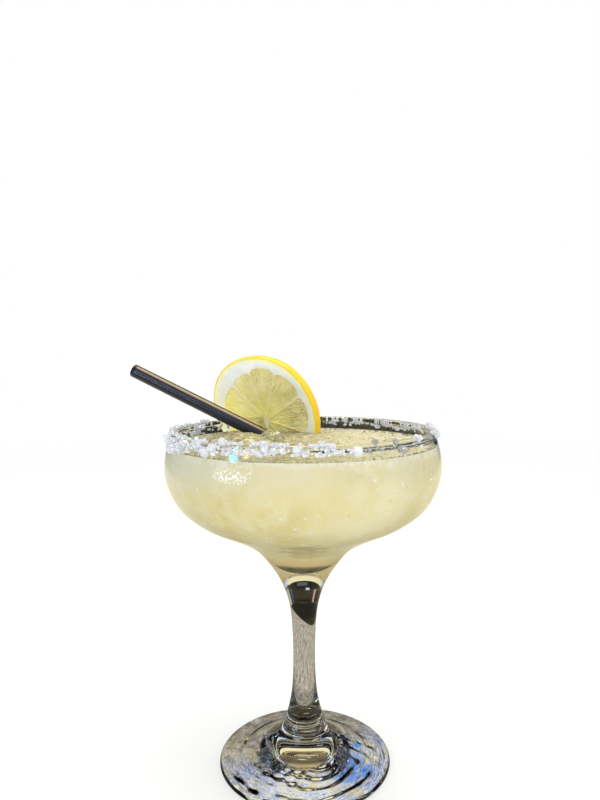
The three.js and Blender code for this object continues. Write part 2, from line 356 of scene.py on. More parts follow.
def drink_look():
    look = Look("cloudy_drink")
    sideways, _, height = look.split(look.place())
    broad = look.noise(30.0, detail=2.0, distortion=0.5)
    fine = look.noise(130.0, roughness=0.6, distortion=0.6)
    wisps = look.noise(60.0, detail=4.0, roughness=0.65, distortion=2.5)
    colour = look.ramp(broad, [(0.36, 233, 219, 158), (0.5, 242, 230, 178), (0.64, 249, 241, 203)])
    colour = look.mix(look.between(fine, 0.42, 0.7, 0.0, 0.55), colour, (251, 247, 218))
    colour = look.mix(look.between(wisps, 0.56, 0.7, 0.0, 0.5), colour, (255, 252, 230))

    bent = look.mix(0.12, look.place(), look.noise(60.0, detail=2.0, output="Color"))
    shard_edges = look.cells(75.0, "DISTANCE_TO_EDGE", bent)
    some = look.between(look.noise(24.0), 0.5, 0.6, 0.0, 0.5)
    edge = look.times(look.fading(shard_edges, 0.0, 0.035), some)
    colour = look.mix(edge, colour, (255, 251, 226))
    # Painted light: the drink is painted paler and yellower towards the bottom, against the shade
    # that falls low in the bowl.
    colour = look.mix(look.fading(height, 0.081, 0.106, 0.45), colour, (248, 233, 170))
    colour = look.mix(look.between(height, 0.110, 0.125, 0.0, 0.55), colour, (236, 231, 204))
    # Painted highlight: a whiter patch high on the left of the drink.
    milky = look.times(
        look.fading(sideways, -0.046, -0.008), look.between(height, 0.112, 0.122, 0.0, 0.7)
    )
    colour = look.mix(milky, colour, (242, 242, 226))
    spots = look.times(
        look.fading(look.cells(330.0), 0.12, 0.2), look.between(look.noise(80.0), 0.49, 0.6)
    )
    colour = look.mix(spots, colour, (255, 255, 246))
    shade = look.times(
        look.fading(look.cells(210.0), 0.1, 0.2), look.between(look.noise(90.0), 0.5, 0.64)
    )
    colour = look.mix(look.times(shade, 0.22), colour, (196, 184, 128))
    # Painted shade: a dark line round the bottom of the drink, where it meets the glass.
    painted_dark_line = look.times(
        look.fading(height, 0.0820, 0.0842), look.between(look.noise(160.0), 0.3, 0.55, 0.75, 1.0)
    )
    colour = look.mix(look.fading(height, 0.0830, 0.0905, 0.6), colour, (214, 180, 112))
    colour = look.mix(painted_dark_line, colour, (60, 62, 54))

    foam = look.noise(520.0, roughness=0.7)
    uneven = look.math("ADD", height, look.times(look.math("SUBTRACT", fine, 0.5), 0.006))
    froth_line = look.times(
        look.between(uneven, 0.1232, 0.1256), look.between(foam, 0.4, 0.58, 0.05, 0.8)
    )
    colour = look.mix(froth_line, colour, (250, 247, 232))

    on_top = look.stored("on_top")
    # The top is a clearer, icy layer, and partly painted shade: its colours are darkened and
    # mottled to offset the strong light from above.
    icy_shaded_top = look.ramp(
        look.noise(420.0, detail=4.0, roughness=0.7),
        [(0.36, 92, 86, 58), (0.46, 138, 130, 90), (0.56, 166, 158, 114), (0.68, 238, 230, 186)],
    )
    icy_shaded_top = look.mix(look.between(sideways, -0.012, 0.03, 0.1, 0.7), icy_shaded_top, (226, 218, 178))
    outward = look.far_from((0, 0, 0), look.place((1, 1, 0)))
    icy_shaded_top = look.mix(look.between(outward, 0.0435, 0.0485, 0.0, 0.6), icy_shaded_top, (232, 226, 192))
    colour = look.mix(on_top, colour, icy_shaded_top)
    lumps = look.math("ADD", fine, look.noise(480.0, detail=2.0))
    shader = look.surface(
        soft=(0.5, (0.0018, 0.0016, 0.001)),
        Base_Color=colour,
        Roughness=look.between(on_top, 0.0, 1.0, 0.22, 0.34),
        IOR=1.34,
        Normal=look.bump(lumps, 0.0008, 0.4),
        Specular_IOR_Level=0.3,
        Coat_Weight=0.1,
        Coat_Roughness=0.08,
    )
    return look.done(shader)


def lemon_look():
    """Colours follow what is stored at each point: how far out it is, and where in its segment."""
    look = Look("lemon")
    outward, flesh, membrane = look.split(look.stored("zone", "Vector"))
    ripe, wet_and_glints = look.stored("ripeness"), look.stored("wet_and_glint_zone")
    edges = look.cells(1.0, "DISTANCE_TO_EDGE", look.stored("sacs", "Vector"))
    tint = look.noise(110.0, detail=4.0, roughness=0.6)
    pale = look.ramp(tint, [(0.3, 214, 205, 128), (0.5, 233, 223, 150), (0.72, 246, 239, 184)])
    warm = look.ramp(tint, [(0.3, 254, 232, 96), (0.5, 255, 242, 124), (0.75, 255, 248, 160)])
    juice = look.mix(ripe, pale, warm)
    juice = look.mix(look.fading(edges, 0.0, 0.14, 0.3), juice, (250, 243, 196))
    deep = look.between(look.noise(260.0), 0.48, 0.66, 0.0, 0.75)
    juice = look.mix(look.times(deep, wet_and_glints), juice, (188, 184, 118))
    skin = look.mix(ripe, (244, 238, 188), (255, 243, 166))
    juice = look.mix(look.times(membrane, 0.8), juice, skin)
    # Painted highlights: white glints on the juice sacs.
    painted_glints = look.times(
        look.fading(look.cells(760.0), 0.16, 0.28), look.between(look.noise(230.0), 0.46, 0.56)
    )
    juice = look.mix(look.times(painted_glints, wet_and_glints), juice, (255, 255, 250))

    pith = look.ramp(look.noise(240.0, detail=4.0), [(0.3, 230, 235, 232), (0.7, 248, 249, 243)])
    pith = look.mix(look.between(outward, 0.9, 0.972, 0.0, 0.75), pith, (255, 244, 150))
    pith = look.mix(look.times(ripe, 0.35), pith, (250, 236, 150))
    to_rind = look.between(outward, 0.962, 0.986)
    pores = look.cells(900.0)
    zest = look.ramp(look.noise(90.0, detail=2.0), [(0.3, 252, 205, 10), (0.7, 255, 222, 40)])
    zest = look.mix(look.fading(pores, 0.1, 0.35, 0.3), zest, (240, 178, 0))
    zest = look.mix(look.between(outward, 0.998, 1.001, 0.0, 0.35), zest, (246, 184, 4))

    plump = look.times(look.between(edges, 0.0, 0.35), flesh)
    dimples = look.times(look.between(pores, 0.0, 0.4), to_rind)
    grain = look.times(look.noise(620.0), 0.6)
    height = look.math("ADD", look.math("ADD", plump, dimples), grain)
    shader = look.surface(
        soft=(0.4, (0.003, 0.0025, 0.0012)),
        Base_Color=look.mix(to_rind, look.mix(flesh, pith, juice), zest),
        Roughness=look.between(flesh, 0.2, 0.8, 0.42, 0.12),
        IOR=1.4,
        Normal=look.bump(height, 0.0006, 0.5),
        Coat_Weight=0.3,
        Coat_Roughness=0.1,
    )
    return look.done(shader)


def straw_look():
    look = Look("black_straw")
    scuffs = look.noise(420.0, roughness=0.6)
    colour = look.ramp(look.noise(14.0, detail=2.0), [(0.3, 16, 18, 25), (0.7, 22, 26, 37)])
    shader = look.surface(
        Base_Color=look.mix(look.between(scuffs, 0.64, 0.82, 0.0, 0.12), colour, (54, 56, 66)),
        Roughness=look.between(scuffs, 0.3, 0.8, 0.28, 0.34),
        IOR=1.52,
        Normal=look.bump(scuffs, 0.000005, 0.05),
    )
    return look.done(shader)


def ice_look():
    look = Look("clear_ice")
    cracks = look.noise(240.0, roughness=0.6)
    shader = look.surface(
        Base_Color=look.ramp(cracks, [(0.35, 236, 236, 214), (0.7, 250, 250, 240)]),
        Roughness=look.between(cracks, 0.45, 0.75, 0.02, 0.2),
        IOR=1.31,
        Normal=look.bump(cracks, 0.0006, 0.5),
        Transmission_Weight=0.9,
    )
    return look.done_clear(shader, (0.9, 0.9, 0.86))


def bubble_look():
    look = Look("froth")
    colour = look.ramp(
        look.noise(420.0, roughness=0.7),
        [(0.36, 150, 143, 104), (0.5, 198, 190, 148), (0.64, 252, 248, 224)],
    )
    shader = look.surface(
        Base_Color=colour, Roughness=0.06, IOR=1.33, Transmission_Weight=0.25, Coat_Weight=1.0
    )
    return look.done_clear(shader, (0.86, 0.86, 0.8))


GLASS = glass_look()
SALT = salt_look()
DRINK = drink_look()
LEMON = lemon_look()
STRAW = straw_look()
ICE = ice_look()
FROTH = bubble_look()


# The glass
RING_WAVE = 5.2  # distance between the wavy rings pressed under the foot
RING_HEIGHT = 0.13
DOME_RADIUS = 8.9
DOME_HEIGHT = 2.2


def underside():
    """From the hollow dome in the pad to the foot's edge."""
    dome = [
        (DOME_RADIUS * math.sin(a), DOME_HEIGHT * math.cos(a))
        for a in np.radians(np.linspace(0, 90, 19))
    ]
    points = [(0, DOME_HEIGHT), *dome[1:-1], (DOME_RADIUS + 0.1, 0.02), (PAD_RADIUS, 0.02)]
    low, high, steps = PAD_RADIUS + 0.6, FOOT_RADIUS - FOOT_EDGE - 0.3, 120
    for i in range(steps + 1):
        r = low + (high - low) * i / steps
        sunk = smoothstep(r, PAD_RADIUS, PAD_RADIUS + GROOVE_SLOPE)
        sunk *= 1 - smoothstep(r, GROOVE_OUTER - GROOVE_SLOPE, GROOVE_OUTER)
        points.append((r, GROOVE_DEPTH * sunk))
    return points


def press_rings(verts):
    """Wavy rings in the underside, strongest at the front and the right."""
    pressed = []
    for x, y, z in verts:
        r = math.hypot(x, y)
        if z < 1.0 and PAD_RADIUS + 0.5 < r < FOOT_RADIUS - FOOT_EDGE - 0.2:
            a = math.atan2(y, x)
            strong = 0.42 + 0.58 * smoothstep(math.cos(a + math.radians(62)), -0.45, 0.5)
            fade = smoothstep(r, PAD_RADIUS + 0.5, PAD_RADIUS + 2.5)
            fade *= 1 - smoothstep(r, FOOT_RADIUS - 3.2, FOOT_RADIUS - 1.5)
            sway = 2.2 * math.sin(2 * a + 0.7) + 1.1 * math.sin(5 * a + 0.24 * r)
            wave = 0.5 + 0.5 * math.sin(2 * math.pi * r / RING_WAVE + sway)
            ripple = 0.2 * (0.5 + 0.5 * math.sin(17 * a + 0.5 * r + 2 * math.sin(3 * a)))
            z += strong * fade * (2 * RING_HEIGHT * wave + ripple)
        pressed.append((x, y, z))
    return pressed


def make_glass():
    edge = FOOT_RADIUS - FOOT_EDGE
    lip = RIM_RADIUS - RIM_BEAD
    top = GLASS_HEIGHT - RIM_BEAD
    outline = [
        *underside(),
        *arc(edge, FOOT_EDGE, FOOT_EDGE, -90, 55, ARC_STEPS),
        *spline(OUTSIDE, SPAN_STEPS),
        *arc(lip, top, RIM_BEAD, 20, 205, ARC_STEPS),
        *spline(INSIDE, SPAN_STEPS),
    ]
    outline[-1] = (0, outline[-1][1])
    verts, faces = turned(outline, GLASS_SIDES)
    glass = piece("coupe_glass", press_rings(verts), faces, [GLASS])
    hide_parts("glass")


# The salt, with its large grains where the solid glass has them
SALT_GRAINS = 105
SALT_SMALL = 620
SALT_SATELLITES = 3  # small grains stuck to each large one
SALT_SEED = 20  # the solid's
SALT_BACK_FROM, SALT_BACK_TO = 8, 128
SALT_CLEAR_FROM, SALT_CLEAR_TO = -70, -38
SALT_LARGEST, SALT_SMALLEST = 1.9, 0.9
SALT_COVER = [
    (-180, 1.0), (-120, 1.0), (-95, 0.85), (-72, 0.8), (-64, 0.3), (-44, 0.25), (-36, 0.04),
    (-18, 0.05), (-10, 0.35), (12, 0.35), (25, 0.6), (120, 0.5), (140, 0.35), (152, 1.0),
    (180, 1.0),
]


class Draw:
    """The same repeatable random numbers as the solids use."""

    def __init__(self, seed):
        self.seed = seed

    def next(self):
        self.seed = (self.seed * 1664525 + 1013904223) % 4294967296
        return self.seed / 4294967296


def salt_cover(degrees):
    return float(np.interp(degrees, [s[0] for s in SALT_COVER], [s[1] for s in SALT_COVER]))


def crystal(rng, sizes, turn_x, turn_z):
    """A rough, blunt-cornered crystal."""
    shape = bmesh.new()
    bmesh.ops.create_cube(shape, size=1.0)
    bmesh.ops.bevel(
        shape, geom=list(shape.edges), offset=rng.uniform(0.16, 0.3), segments=1,
        profile=0.5, affect="EDGES",
    )
    turn = Matrix.Rotation(turn_z, 3, "Z") @ Matrix.Rotation(turn_x, 3, "X")
    verts = []
    for v in shape.verts:
        rough = 1.06 + rng.uniform(-0.13, 0.13)
        place = Vector([c * s * rough for c, s in zip(v.co, sizes)])
        verts.append(tuple(turn @ place))
    faces = [[v.index for v in f.verts] for f in shape.faces]
    shape.free()
    return verts, faces


def straw_axis(point):
    way = Vector(STRAW_WAY).normalized()
    offset = Vector(point) - Vector(STRAW_TOP)
    return (offset - way * offset.dot(way)).length


WHEEL_FRAME = (
    Matrix.Translation(WHEEL_CENTRE)
    @ Matrix.Rotation(math.radians(-WHEEL_YAW), 4, "Z")
    @ Matrix.Rotation(math.radians(90 + WHEEL_LEAN), 4, "X")
)
TO_WHEEL = WHEEL_FRAME.inverted()
GAP = 0.3


def in_the_way(centre, reach):
    """True where a grain would reach the straw or the wheel, or lie before the wheel's face."""
    if straw_axis(centre) < STRAW_RADIUS + reach + GAP:
        return True
    local = TO_WHEEL @ Vector(centre)
    inside = math.hypot(local.x, local.y) < WHEEL_RADIUS + reach + 1
    return inside and -WHEEL_THICKNESS / 2 - reach - GAP < local.z < 14


def salt_place(degrees, fall, on_top_shift, radius):
    a = math.radians(degrees)
    behind = SALT_BACK_FROM < degrees < SALT_BACK_TO
    left = max(0.0, -math.cos(a)) ** 3
    drop = 1.1 + 2.4 * fall if behind else fall * (2.8 + 3.4 * left)
    on_top = drop < 0.9
    z = GLASS_HEIGHT - 0.2 - drop + (0.6 if on_top else 0)
    if on_top:
        r = RIM_RADIUS - RIM_BEAD + 0.6 * on_top_shift()
    else:
        r = outside_radius(z) + 0.25 * radius
    return (r * math.cos(a), r * math.sin(a), z)


def large_grains(draw):
    """The same draws as the solid's, so that each grain comes out in the same place."""
    grains = []
    while len(grains) < SALT_GRAINS:
        share = len(grains) / SALT_GRAINS
        degrees = 360 * draw.next() - 180
        if draw.next() > salt_cover(degrees):
            continue
        behind = SALT_BACK_FROM < degrees < SALT_BACK_TO
        size = SALT_LARGEST + (SALT_SMALLEST - SALT_LARGEST) * share
        radius = 0.75 * size if behind else size
        centre = salt_place(degrees, draw.next() ** 1.6, draw.next, radius)
        if in_the_way(centre, 1.5 * radius):
            continue
        sizes = [radius * (base + 0.5 * draw.next()) for base in (1.3, 1.2, 1.0)]
        grains.append((degrees, centre, radius, sizes, draw.next() * 6, draw.next() * 6))
    return grains


def make_salt():
    rng = random.Random(7)
    verts, faces, shades, clears = [], [], [], []

    def put(degrees, centre, sizes, turn_x, turn_z):
        grain, sides = crystal(rng, sizes, turn_x, turn_z)
        start = len(verts)
        verts.extend(tuple(c + g for c, g in zip(centre, v)) for v in grain)
        faces.extend([start + i for i in f] for f in sides)
        shades.extend([rng.random()] * len(grain))
        clear = SALT_CLEAR_FROM < degrees < SALT_CLEAR_TO
        clears.extend([0.9 if clear else 0.0] * len(grain))

    def put_small(degrees, centre, size):
        if not in_the_way(centre, size):
            sizes = [size * rng.uniform(1.2, 1.8) for _ in range(3)]
            put(degrees, centre, sizes, rng.uniform(0, 6), rng.uniform(0, 6))

    for degrees, centre, radius, sizes, turn_x, turn_z in large_grains(Draw(SALT_SEED)):
        put(degrees, centre, [0.86 * s for s in sizes], turn_x, turn_z)
        for _ in range(SALT_SATELLITES):
            way = Vector([rng.gauss(0, 1) for _ in range(3)]).normalized()
            way.z = abs(way.z) * 0.7 if centre[2] > GLASS_HEIGHT - 1 else way.z
            put_small(degrees, tuple(Vector(centre) + way * radius * 0.72), 0.42 * radius)
    placed = 0
    while placed < SALT_SMALL:
        degrees = rng.uniform(-180, 180)
        cover = salt_cover(degrees)
        if rng.random() > cover * (1.0 if cover > 0.7 and degrees < 125 else 0.4):
            continue
        size = rng.uniform(0.3, 0.8)
        fall = rng.random() ** 1.3
        if -79 < degrees < -30:
            fall = 0.42 + 0.58 * fall
        put_small(degrees, salt_place(degrees, fall, rng.random, size), size)
        placed += 1
    salt = piece("salt_crystals", verts, faces, [SALT], smooth_angle=25)
    store(salt, "shade", shades)
    store(salt, "clear", clears)
    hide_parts("glass")


# The drink
def hashed(x, y):
    value = math.sin(x * 127.1 + y * 311.7) * 43758.5453
    return value - math.floor(value)


def value_noise(x, y):
    ix, iy = math.floor(x), math.floor(y)
    fx, fy = x - ix, y - iy
    ux, uy = fx * fx * (3 - 2 * fx), fy * fy * (3 - 2 * fy)
    low = hashed(ix, iy) * (1 - ux) + hashed(ix + 1, iy) * ux
    high = hashed(ix, iy + 1) * (1 - ux) + hashed(ix + 1, iy + 1) * ux
    return low * (1 - uy) + high * uy


def slush(x, y):
    r = math.hypot(x, y) / RIM_RADIUS
    inner = max(0.0, 1 - r**4)
    away = ((x - HEAP_X) ** 2 + (y - HEAP_Y) ** 2) / HEAP_SPREAD**2
    heap = HEAP_HEIGHT * math.exp(-away)
    waves = 0.22 * math.sin(0.42 * x + 0.9) * math.cos(0.37 * y)
    waves += 0.16 * math.sin(0.71 * y - 0.33 * x + 2.1)
    lumps = 0.75 * (value_noise(x * 0.33, y * 0.33) - 0.5)
    lumps += 0.5 * (value_noise(x * 0.8 + 9, y * 0.8) - 0.5)
    lumps += 0.22 * (value_noise(x * 1.7, y * 1.7 + 5) - 0.5)
    return inner * (heap + waves + 0.12) + lumps * min(1.0, 1.15 - r)


def make_drink():
    into_wall = 0.12
    wall = [(r + into_wall, z - into_wall) for r, z in spline(INSIDE, SPAN_STEPS)]
    wall = [(r, z) for r, z in reversed(wall) if z < DRINK_LEVEL]
    wall[0] = (0, wall[0][1])
    edge = inside_radius(DRINK_LEVEL + 0.5) + into_wall
    climb = ((0, 0.55), (0.35, 0.35), (0.9, 0.12))
    rim = [(edge - inward, DRINK_LEVEL + up) for inward, up in climb]
    rings = 110
    flat = [((edge - 1.4) * (1 - i / rings), DRINK_LEVEL) for i in range(rings + 1)]
    verts, faces = turned(wall + rim + flat, GLASS_SIDES)
    rim_start = 1 + GLASS_SIDES * (len(wall) - 1)
    flat_start = rim_start + GLASS_SIDES * len(rim)
    moved = []
    for i, (x, y, z) in enumerate(verts):
        if i >= rim_start:
            fade = 1.0 if z <= DRINK_LEVEL else 0.3
            z += slush(x, y) * fade
        moved.append((x, y, z))
    drink = piece("drink_body", moved, faces, [DRINK], smooth_angle=60)
    store(drink, "on_top", [1.0 if i >= flat_start else 0.0 for i in range(len(moved))])
    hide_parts("drink")


def make_bubbles():
    """Froth round the wall and in drifts over the top."""
    rng = random.Random(3)
    verts, faces = [], []
    ball = bmesh.new()
    bmesh.ops.create_icosphere(ball, subdivisions=1, radius=1.0)
    ball_verts = [tuple(v.co) for v in ball.verts]
    ball_faces = [[v.index for v in f.verts] for f in ball.faces]
    ball.free()
    at_wall, all_over = 1000, 1250
    for i in range(at_wall + all_over):
        size = rng.uniform(0.14, 0.34) if i % 9 else rng.uniform(0.34, 0.55)
        a = rng.uniform(0, 2 * math.pi)
        if i < at_wall:
            r = inside_radius(DRINK_LEVEL) - size - rng.random() ** 2 * 1.8
        else:
            r = 48 * math.sqrt(rng.random())
        x, y = r * math.cos(a), r * math.sin(a)
        if i >= at_wall and value_noise(x * 0.17 + 3, y * 0.17) < 0.42:
            continue
        z = DRINK_LEVEL + slush(x, y) + (0.3 if i < at_wall else 0.0) + 0.1 * size
        if straw_axis((x, y, z)) < STRAW_RADIUS + size:
            continue
        start = len(verts)
        verts += [(x + size * vx, y + size * vy, z + size * vz) for vx, vy, vz in ball_verts]
        faces += [[start + k for k in f] for f in ball_faces]
    froth = piece("froth_bubbles", verts, faces, [FROTH], smooth_angle=180)


# The lemon wheel
MEMBRANES = [32, 73, 107, 137, 180, 213, 246, 280, 313, 346]
CORE = (2.0, -2.0)
FLESH_CENTRE = (1.3, -0.1)
FLESH_RADIUS = 21.9


def wheel_edge(angle):
    return (
        WHEEL_RADIUS
        + 0.45 * math.cos(2 * angle + 2.05)
        + 0.58 * math.cos(3 * angle - 0.54)
        + 0.38 * math.cos(4 * angle + 2.15)
    )


def lemon_zone(x, y):
    """How far out a point is, how much it is flesh and membrane, and its place among the sacs."""
    outward = math.hypot(x, y) / wheel_edge(math.atan2(y, x))
    rho = math.hypot(x - CORE[0], y - CORE[1])
    phi = math.degrees(math.atan2(y - CORE[1], x - CORE[0])) % 360
    lower = max([m for m in MEMBRANES if m <= phi], default=MEMBRANES[-1] - 360)
    upper = min([m for m in MEMBRANES if m > phi], default=MEMBRANES[0] + 360)
    index = MEMBRANES.index(lower % 360)
    across = (phi - lower) / (upper - lower)
    way = (math.cos(math.radians(phi)), math.sin(math.radians(phi)))
    off = (CORE[0] - FLESH_CENTRE[0], CORE[1] - FLESH_CENTRE[1])
    along = off[0] * way[0] + off[1] * way[1]
    reach = -along + math.sqrt(along**2 - off[0] ** 2 - off[1] ** 2 + FLESH_RADIUS**2)
    off_middle = abs(2 * across - 1)
    end = reach * (1 - 0.07 * off_middle**4) + 0.3 * math.sin(index * 2.3)
    to_wall = rho * math.sin(math.radians(min(phi - lower, upper - phi)))
    end_in = end - rho
    core = math.hypot(x - CORE[0], 0.5 * (y - CORE[1] + 1.0))
    flesh = smoothstep(end_in, -0.5, 0.5) * smoothstep(core, 0.7, 1.7)
    membrane = 1 - smoothstep(to_wall, 0.08, 0.55 - 0.25 * rho / reach)
    membrane = max(membrane, 1 - smoothstep(rho, 1.2, 2.8))
    sacs = (
        index * 7.3 + (across - 0.5) * rho * 0.85 * math.radians(upper - lower),
        rho * 0.17 + 0.6 * abs(across - 0.5),
        index * 3.1,
    )
    return outward, flesh, membrane, sacs, to_wall


def ripeness(x, y):
    """The flesh is a deeper yellow round the core and low on the left."""
    near_core = 1 - smoothstep(math.hypot(x - CORE[0], y - CORE[1]), 2, 15)
    low_left = 1 - smoothstep(0.75 * x + y, -14, 10)
    return max(0.85 * near_core, low_left)


def wet_and_glint_zone(x, y):
    """Where juice looks wet and deep, and where painted glints go: the outer ends of the segments,
    up and to the right.
    """
    rho = math.hypot(x - FLESH_CENTRE[0], y - FLESH_CENTRE[1]) / FLESH_RADIUS
    up_right = smoothstep(0.8 * x + 0.6 * y, -2, 14)
    return up_right * smoothstep(rho, 0.5, 0.85)


def make_lemon():
    around, rings = 480, 96
    half = WHEEL_THICKNESS / 2
    angles = [2 * math.pi * i / around for i in range(around)]
    verts, rows, zones, sacs_all, ripe, wet_and_glint_values = [], [], [], [], [], []

    def add_row(share, side, z_of=None):
        rows.append(list(range(len(verts), len(verts) + around)))
        for a in angles:
            r = wheel_edge(a) * share
            x, y = r * math.cos(a), r * math.sin(a)
            outward, flesh, membrane, sacs, to_wall = lemon_zone(x, y)
            sunk = 0.42 * flesh * (1 - membrane) * smoothstep(to_wall, 0.1, 1.0)
            plump = 0.22 * flesh * (value_noise(sacs[0] * 1.7, sacs[1] * 1.7) - 0.3)
            soft = 0.5 * (smoothstep(share, 0.972, 1.0) ** 2)
            pith = 0.08 * value_noise(x * 0.9, y * 0.9) * (1 - flesh)
            z = side * (half - sunk + plump - soft + pith) if z_of is None else z_of
            verts.append((x, y, z))
            zones.append((outward, flesh, membrane if flesh > 0 else 0.0))
            sacs_all.append(sacs if side > 0 else (sacs[0] + 50, sacs[1], sacs[2]))
            ripe.append(ripeness(x, y))
            wet_and_glint_values.append(wet_and_glint_zone(x, y))

    shares = [((i + 1) / rings) ** 0.85 for i in range(rings)]
    for share in reversed(shares):
        add_row(share, -1)
    back = len(rows)
    for level in (-0.55, -0.2, 0.2, 0.55):
        add_row(1.0 + 0.006 * (1 - abs(level)), 1, z_of=level * half)
    for share in reversed(shares):
        add_row(share, 1)
    order = list(reversed(rows[:back])) + rows[back:]
    faces = bands(order, around)
    for row, side in ((order[0], -1), (order[-1], 1)):
        middle = len(verts)
        verts.append((0, 0, side * (half - 0.35)))
        zones.append((0.0, 1.0, 0.0))
        sacs_all.append(sacs_all[row[0]])
        ripe.append(0.9)
        wet_and_glint_values.append(0.0)
        for i in range(around):
            j = (i + 1) % around
            faces.append([middle, row[j], row[i]] if side < 0 else [row[i], row[j], middle])
    placed = [tuple(WHEEL_FRAME @ Vector(v)) for v in verts]
    wheel = piece("lemon_slice", placed, faces, [LEMON], smooth_angle=60)
    store(wheel, "zone", zones)
    store(wheel, "sacs", sacs_all)
    store(wheel, "ripeness", ripe)
    store(wheel, "wet_and_glint_zone", wet_and_glint_values)
    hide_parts("lemon_wheel")


# The straw
def make_straw():
    lip, bevel = 0.12, 0.02
    outline = [
        (STRAW_BORE + bevel, 0.0), (STRAW_RADIUS - lip, 0.0),
        (STRAW_RADIUS, lip), (STRAW_RADIUS, STRAW_LENGTH - lip),
        (STRAW_RADIUS - lip, STRAW_LENGTH), (STRAW_BORE + bevel, STRAW_LENGTH),
        (STRAW_BORE, STRAW_LENGTH - lip), (STRAW_BORE, lip),
    ]
    sides, steps = 64, 60
    long_outline = []
    for (r0, z0), (r1, z1) in zip(outline, outline[1:] + outline[:1]):
        pieces = steps if abs(z1 - z0) > 10 else 1
        for k in range(pieces):
            t = k / pieces
            long_outline.append((r0 + (r1 - r0) * t, z0 + (z1 - z0) * t))
    turn = Vector((0, 0, 1)).rotation_difference(Vector(STRAW_WAY).normalized()).to_matrix()
    verts = []
    for r, z in long_outline:
        for i in range(sides):
            a = 2 * math.pi * i / sides
            spot = turn @ Vector((r * math.cos(a), r * math.sin(a), z)) + Vector(STRAW_TOP)
            verts.append(tuple(spot))
    rows = [list(range(k, k + sides)) for k in range(0, len(verts), sides)]
    straw = piece("black_straw", verts, bands(rows + rows[:1], sides), [STRAW], smooth_angle=50)
    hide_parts("straw")


# The ice
def make_ice():
    shape = bmesh.new()
    bmesh.ops.create_icosphere(shape, subdivisions=4, radius=1.0)
    turn = Matrix.Rotation(-0.55, 3, "Z") @ Matrix.Rotation(0.35, 3, "X")
    verts = []
    for v in shape.verts:
        c = v.co
        blocky = 1 / max(abs(c.x), abs(c.y), abs(c.z)) ** 0.45
        uneven = 1 + 0.06 * math.sin(7 * c.x + 5 * c.y + 3 * c.z)
        uneven += 0.05 * (value_noise(c.x * 4 + 8, c.y * 4 + c.z * 3) - 0.5)
        scaled = Vector([k * s * blocky * uneven for k, s in zip(c, ICE_RADII)])
        verts.append(tuple(turn @ scaled + Vector(ICE_CENTRE)))
    faces = [[v.index for v in f.verts] for f in shape.faces]
    shape.free()
    ice = piece("ice_chunk", verts, faces, [ICE], smooth_angle=40)
    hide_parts("ice_lump")


make_glass()
make_salt()
make_drink()
make_bubbles()
make_lemon()
make_straw()
make_ice()


# The stage: a plain pale floor, and cards that only glass and wet surfaces mirror or show
SOFT_COLOUR, SOFT_LIGHT = (0.97, 0.985, 1.0), 0.98
ROOM_COLOUR, ROOM_LIGHT = (1.0, 0.95, 0.85), 0.012


def stage_plane(name, size, location, material, turn=0.0):
    half_x, half_y = size[0] / 2, size[1] / 2
    mesh = bpy.data.meshes.new(name)
    mesh.from_pydata(
        [(-half_x, -half_y, 0), (half_x, -half_y, 0), (half_x, half_y, 0), (-half_x, half_y, 0)],
        [], [[0, 1, 2, 3]],
    )
    mesh.materials.append(material)
    plane = bpy.data.objects.new(name, mesh)
    plane.location = location
    plane.rotation_euler = (0, 0, math.radians(turn))
    bpy.context.scene.collection.objects.link(plane)
    return plane


def stage_card(name, size, location, material, turn=0.0, mirrored=True, seen_through=True):
    card = stage_plane(name, size, location, material, turn)
    card.visible_camera = False
    card.visible_shadow = False
    card.visible_diffuse = False
    card.visible_glossy = mirrored
    card.visible_transmission = seen_through
    return card


def aim(obj, way, front):
    obj.rotation_euler = Vector(way).to_track_quat(front, "Y").to_euler()


def lamp_card(
    name, colour, strength, size, location,
    target=(0, 0, 0.07), seen_through=True, fade=False, speckle=0.0,
):
    """A small bright card that faces the object, for a glint in the glass."""
    light = glow(name, colour, strength, size if fade else None, speckle)
    card = stage_card(name, size, location, light, seen_through=seen_through)
    aim(card, Vector(target) - Vector(location), "Z")


def glint_card(name, colour, strength, size, start, way, distance, speckle=0.0):
    """A lamp card at a distance along the way that a reflection leaves the bowl."""
    start = Vector(start) * MM
    location = start + Vector(way).normalized() * distance
    lamp_card(name, colour, strength, size, location, start, False, True, speckle)


def floor_look():
    look = Look("pale_floor")
    fade = look.between(look.far_from((0, 0, 0)), 0.25, 1.1)
    diffuse = look.add("BsdfDiffuse", Color=rgba((0.86, 0.86, 0.86)))
    return look.done(look.either(fade, diffuse, look.add("BsdfTransparent")))


def shining(look, colour, strength=1.0):
    """One light for what glass shows the eye, another for the light that a surface gathers."""
    after_bounce = look.add("LightPath").outputs["Diffuse Depth"]
    seen = look.add("Emission", Color=colour, Strength=strength)
    gathered = look.add("Emission", Color=rgba(SOFT_COLOUR), Strength=SOFT_LIGHT)
    return look.done(
        look.either(look.math("GREATER_THAN", after_bounce, 0.5), seen, gathered)
    )


def glow(name, colour, strength, size=None, speckle=0.0):
    """A card's light. With a size given, it fades out towards the card's edges."""
    look = Look(name)
    if size:
        away = look.far_from((0, 0, 0), look.place((2 / size[0], 2 / size[1], 1)))
        strength = look.fading(away, 0.2, 1.0, strength)
        if speckle:
            spots = look.between(look.noise(speckle, roughness=0.7), 0.48, 0.62)
            strength = look.times(strength, spots)
    return shining(look, on_screen(colour), strength)


